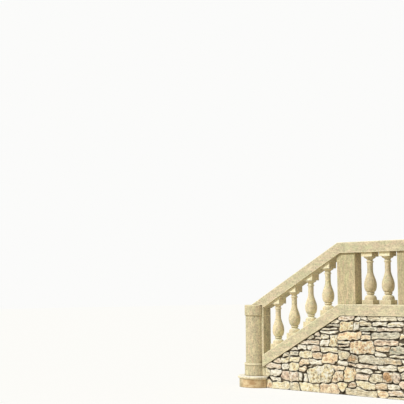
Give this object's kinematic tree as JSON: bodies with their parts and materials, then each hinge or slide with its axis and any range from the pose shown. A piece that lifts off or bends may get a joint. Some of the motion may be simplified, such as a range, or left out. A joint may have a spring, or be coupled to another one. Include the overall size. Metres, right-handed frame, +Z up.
{
  "type": "stone balustrade",
  "caption": "Stone balustrade on a rubble wall: a rounded bottom step, a round newel, a raking bay of turned balusters and level bays between piers under a handrail.",
  "frame": {"origin": "on the ground, under the middle of the bounding box", "axes": "+X along the wall, from the round newel at the foot of the stair towards the level bays; +Y across the wall, towards its unseen side; +Z up"},
  "size_m": [5.907, 0.594, 2.0601],
  "materials": {
    "pier_limestone": "sawn limestone, weathered",
    "rail_limestone": "sawn limestone, weathered",
    "turned_limestone": "turned limestone, weathered",
    "step_limestone": "limestone stained orange-brown",
    "rubble_stone": "mixed rubble, recessed joints"
  },
  "bodies": {
    "root": {"curtail_step": "step_limestone", "newel_base": "pier_limestone", "newel_shaft": "pier_limestone", "newel_cap": "pier_limestone", "raking_wall": "rubble_stone", "level_wall": "rubble_stone", "raking_base_rail": "rail_limestone", "raking_handrail": "rail_limestone", "raking_baluster_1": "turned_limestone", "raking_baluster_2": "turned_limestone", "raking_baluster_3": "turned_limestone", "raking_baluster_4": "turned_limestone", "pier_1": "pier_limestone", "pier_2": "pier_limestone", "pier_3": "pier_limestone", "pier_4": "pier_limestone", "pier_5": "pier_limestone", "level_base_rail_1": "rail_limestone", "level_base_rail_2": "rail_limestone", "level_base_rail_3": "rail_limestone", "level_base_rail_4": "rail_limestone", "level_handrail_1": "rail_limestone", "level_handrail_2": "rail_limestone", "level_handrail_3": "rail_limestone", "level_handrail_4": "rail_limestone", "level_baluster_1": "turned_limestone", "level_baluster_2": "turned_limestone", "level_baluster_3": "turned_limestone", "level_baluster_4": "turned_limestone", "level_baluster_5": "turned_limestone", "level_baluster_6": "turned_limestone", "level_baluster_7": "turned_limestone", "level_baluster_8": "turned_limestone"}
  },
  "joints": []
}
